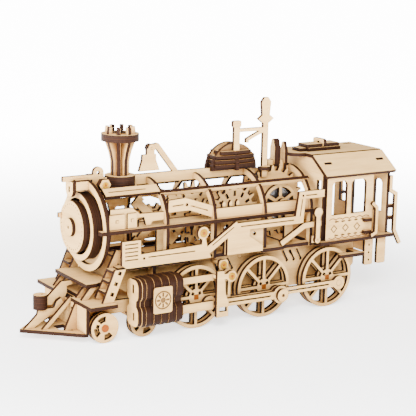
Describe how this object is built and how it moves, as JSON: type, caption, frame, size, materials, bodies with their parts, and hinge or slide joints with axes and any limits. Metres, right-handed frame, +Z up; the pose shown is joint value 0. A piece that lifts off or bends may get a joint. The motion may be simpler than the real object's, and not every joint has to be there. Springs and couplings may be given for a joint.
{
  "type": "wooden clockwork locomotive puzzle",
  "caption": "Laser-cut plywood puzzle model of a steam locomotive, with a clockwork gear train, coupled drive wheels, open ribbed boiler, cab and pointed pilot.",
  "frame": {"origin": "centre of the bounding box in plan, at the foot of the drive wheels", "axes": "+X forward along the rails, +Y to the locomotive's left, +Z up"},
  "size_m": [0.3624, 0.1164, 0.186],
  "materials": {
    "plywood": "bare basswood plywood with dark laser-burnt edges",
    "yellow_plastic": "smooth moulded plastic",
    "spring_steel": "rolled strip"
  },
  "bodies": {
    "locomotive": {"bell_bracket": "plywood", "bogie_frame": "plywood", "boiler_cladding": "plywood", "boiler_ribs": "plywood", "boiler_stringers": "plywood", "buffer_beam": "plywood", "cab_end_walls": "plywood", "cab_handrails": "plywood", "cab_roof": "plywood", "cab_sides": "plywood", "cab_steps": "plywood", "chimney_discs": "plywood", "chimney_ribs": "plywood", "coupler_drum": "plywood", "cylinder_covers": "plywood", "cylinders": "plywood", "fascias": "plywood", "firebox_plates": "plywood", "frame_crossmembers": "plywood", "front_deck": "plywood", "gear_bars": "plywood", "headlamp": "plywood", "hook_brackets": "plywood", "motion_brackets": "plywood", "pilot_base": "plywood", "pilot_ribs": "plywood", "roof_hatch": "plywood", "running_boards": "plywood", "safety_valves": "plywood", "side_frames": "plywood", "smokebox_door": "plywood", "smokebox_rings": "plywood", "spine": "plywood", "stairs": "plywood", "steam_dome": "plywood", "whistle": "plywood", "yellow_caps": "yellow_plastic"},
    "main_wheelset": {"main_drive_wheels": "plywood", "main_drive_axle": "plywood"},
    "front_wheelset": {"front_drive_wheels": "plywood", "front_drive_axle": "plywood"},
    "rear_wheelset": {"rear_drive_wheels": "plywood", "rear_drive_axle": "plywood"},
    "left_coupling": {"left_coupling_rod": "plywood"},
    "right_coupling": {"right_coupling_rod": "plywood"},
    "left_main": {"left_main_rod": "plywood"},
    "right_main": {"right_main_rod": "plywood"},
    "idler": {"idler_gear": "plywood"},
    "second_gear": {"second_wheel": "plywood"},
    "third_gear": {"third_wheel": "plywood"},
    "barrel": {"spring_barrel": "plywood", "mainspring": "spring_steel"},
    "governor": {"governor_fan": "plywood"},
    "front_pilot_wheelset": {"front_pilot_wheels": "plywood"},
    "rear_pilot_wheelset": {"rear_pilot_wheels": "plywood"},
    "bell_swing": {"bell": "plywood"},
    "stop_lever": {"control_lever": "plywood"},
    "left_valve": {"left_valve_lever": "plywood"},
    "right_valve": {"right_valve_lever": "plywood"}
  },
  "joints": [
    {"name": "main_wheels_spin", "type": "hinge", "parent": "locomotive", "child": "main_wheelset", "pos_m": [-0.02865, 0, 0.027], "axis": [0, 1, 0], "continuous": true},
    {"name": "front_wheels_spin", "type": "hinge", "parent": "locomotive", "child": "front_wheelset", "pos_m": [0.0398, 0, 0.027], "axis": [0, 1, 0], "continuous": true},
    {"name": "rear_wheels_spin", "type": "hinge", "parent": "locomotive", "child": "rear_wheelset", "pos_m": [-0.0971, 0, 0.027], "axis": [0, 1, 0], "continuous": true},
    {"name": "left_coupling_turn", "type": "hinge", "parent": "main_wheelset", "child": "left_coupling", "pos_m": [-0.03933, 0.0427, 0.0211], "axis": [0, 1, 0], "continuous": true},
    {"name": "right_coupling_turn", "type": "hinge", "parent": "main_wheelset", "child": "right_coupling", "pos_m": [-0.03455, -0.0427, 0.03768], "axis": [0, 1, 0], "continuous": true},
    {"name": "left_main_rod_turn", "type": "hinge", "parent": "main_wheelset", "child": "left_main", "pos_m": [-0.03933, 0.0497, 0.0211], "axis": [0, 1, 0], "continuous": true},
    {"name": "right_main_rod_turn", "type": "hinge", "parent": "main_wheelset", "child": "right_main", "pos_m": [-0.03455, -0.0497, 0.03768], "axis": [0, 1, 0], "continuous": true},
    {"name": "idler_spin", "type": "hinge", "parent": "locomotive", "child": "idler", "pos_m": [-0.01186, 0.011, 0.05336], "axis": [0, 1, 0], "continuous": true},
    {"name": "second_wheel_spin", "type": "hinge", "parent": "locomotive", "child": "second_gear", "pos_m": [-0.01464, 0.011, 0.0895], "axis": [0, 1, 0], "continuous": true},
    {"name": "spring_barrel_spin", "type": "hinge", "parent": "locomotive", "child": "barrel", "pos_m": [-0.0595, 0.0045, 0.093], "axis": [0, 1, 0], "continuous": true},
    {"name": "third_wheel_spin", "type": "hinge", "parent": "locomotive", "child": "third_gear", "pos_m": [0.02036, -0.002, 0.0895], "axis": [0, 1, 0], "continuous": true},
    {"name": "governor_fan_spin", "type": "hinge", "parent": "locomotive", "child": "governor", "pos_m": [0.05774, 0.001, 0.0865], "axis": [0, 1, 0], "continuous": true},
    {"name": "front_pilot_wheels_spin", "type": "hinge", "parent": "locomotive", "child": "front_pilot_wheelset", "pos_m": [0.1251, 0, 0.0124], "axis": [0, 1, 0], "continuous": true},
    {"name": "rear_pilot_wheels_spin", "type": "hinge", "parent": "locomotive", "child": "rear_pilot_wheelset", "pos_m": [0.0895, 0, 0.0124], "axis": [0, 1, 0], "continuous": true},
    {"name": "bell_swing_turn", "type": "hinge", "parent": "locomotive", "child": "bell_swing", "pos_m": [0.0637, 0.0034, 0.1484], "axis": [0, 1, 0], "range_deg": [-20, 20]},
    {"name": "control_lever_turn", "type": "hinge", "parent": "locomotive", "child": "stop_lever", "pos_m": [-0.082, 0.0427, 0.063], "axis": [0, 1, 0], "range_deg": [-5, 18]},
    {"name": "left_valve_lever_swing", "type": "hinge", "parent": "locomotive", "child": "left_valve", "pos_m": [0.0144, 0.0462, 0.045], "axis": [0, 1, 0], "range_deg": [-15, 15]},
    {"name": "right_valve_lever_swing", "type": "hinge", "parent": "locomotive", "child": "right_valve", "pos_m": [0.0144, -0.0462, 0.045], "axis": [0, 1, 0], "range_deg": [-15, 15]}
  ],
  "couplings": [
    {"joint": "front_wheels_spin", "follows": "main_wheels_spin", "ratio": 1},
    {"joint": "rear_wheels_spin", "follows": "main_wheels_spin", "ratio": 1},
    {"joint": "left_coupling_turn", "follows": "main_wheels_spin", "ratio": -1},
    {"joint": "right_coupling_turn", "follows": "main_wheels_spin", "ratio": -1},
    {"joint": "left_main_rod_turn", "follows": "main_wheels_spin", "ratio": -1},
    {"joint": "right_main_rod_turn", "follows": "main_wheels_spin", "ratio": -1},
    {"joint": "idler_spin", "follows": "main_wheels_spin", "ratio": -1.2727},
    {"joint": "second_wheel_spin", "follows": "main_wheels_spin", "ratio": 0.77778},
    {"joint": "spring_barrel_spin", "follows": "main_wheels_spin", "ratio": -0.38889},
    {"joint": "third_wheel_spin", "follows": "main_wheels_spin", "ratio": -1.4},
    {"joint": "governor_fan_spin", "follows": "main_wheels_spin", "ratio": 2.8}
  ]
}
